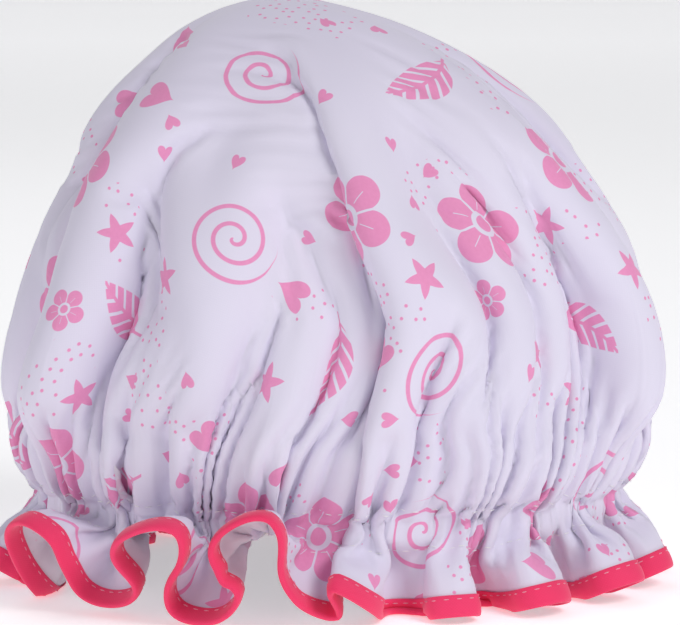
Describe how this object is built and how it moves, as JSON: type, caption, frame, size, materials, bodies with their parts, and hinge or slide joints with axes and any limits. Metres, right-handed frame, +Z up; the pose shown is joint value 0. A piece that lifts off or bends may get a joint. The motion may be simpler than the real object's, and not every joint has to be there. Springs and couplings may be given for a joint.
{
  "type": "shower cap",
  "caption": "Child's bouffant shower cap in printed fabric, drawn in by a cased elastic, with a loose frill below it whose edge is bound in folded tape.",
  "frame": {"origin": "middle of the base, on the plane that the hem stands on", "axes": "+Z up through the top of the crown, -Y towards the front as pictured, +X to the right of the picture"},
  "size_m": [0.205, 0.1728, 0.1748],
  "materials": {
    "printed_fabric": "thin white polyester with a cool lilac cast, a fine plain weave and a pink print",
    "lining_film": "plain white coated cloth, slightly glossy, with the print showing through faintly",
    "elastic": "knitted white elastic",
    "binding_tape": "hot pink folded cotton tape, matt",
    "white_thread": "white polyester sewing thread",
    "pink_thread": "pale pink polyester sewing thread"
  },
  "bodies": {
    "root": {"printed_shell": "printed_fabric", "waterproof_lining": "lining_film", "elastic_band": "elastic", "elastic_join_stitch": "white_thread", "hem_tape": "binding_tape", "upper_casing_needle_thread": "white_thread", "upper_casing_bobbin_thread": "white_thread", "lower_casing_needle_thread": "white_thread", "lower_casing_bobbin_thread": "white_thread", "hem_needle_thread": "pink_thread", "hem_bobbin_thread": "pink_thread"}
  },
  "joints": []
}
